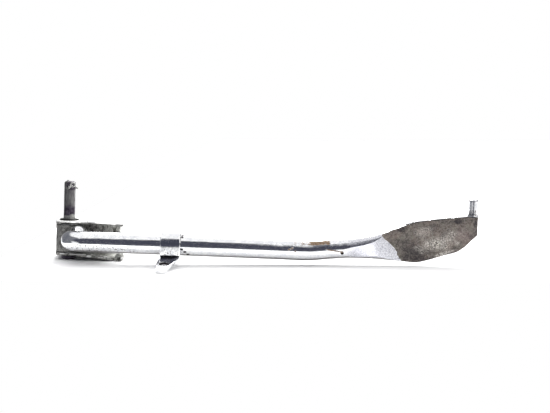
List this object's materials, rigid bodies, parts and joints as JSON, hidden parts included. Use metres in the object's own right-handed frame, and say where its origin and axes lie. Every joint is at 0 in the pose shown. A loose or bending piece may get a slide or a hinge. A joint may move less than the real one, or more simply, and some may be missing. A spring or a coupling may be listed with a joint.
{
  "type": "motorcycle side stand",
  "caption": "Chromed swing-out side stand with a flattened foot and kick peg, on a clevis bracket with a long pivot pin and a spring clamp.",
  "frame": {"origin": "on the pivot pin's axis, at the top face of the seat washer, where the frame's lug sits", "axes": "+Z along the pivot pin towards its free end, +X along the folded leg, and the sole of the foot faces -Y"},
  "size_m": [0.3711, 0.0851, 0.069],
  "materials": {
    "cast_steel": "rough cast, worn bare on the edges",
    "pin_steel": "dark, dull, lightly scored",
    "black_washer": "black oxide",
    "wire_steel": "plain wire",
    "shim_steel": "ground",
    "bronze": "sintered, oiled",
    "chrome": "polished chrome with pits and light rust; bare worn steel on the foot's sole",
    "peg_chrome": "polished chrome",
    "strap_chrome": "chromed strap with light scratches"
  },
  "bodies": {
    "bracket": {"bracket": "cast_steel", "pivot_pin": "pin_steel", "seat_washer": "black_washer", "cotter_pin": "wire_steel", "upper_thrust_washer": "shim_steel", "lower_thrust_washer": "shim_steel"},
    "leg": {"leg": "chrome", "upper_bush": "bronze", "lower_bush": "bronze", "kick_peg": "peg_chrome", "spring_clamp": "strap_chrome"}
  },
  "joints": [
    {"name": "leg_swing", "type": "hinge", "parent": "bracket", "child": "leg", "pos_m": [0, 0, -0.0168], "axis": [0, 0, -1], "range_deg": [0, 108]}
  ]
}
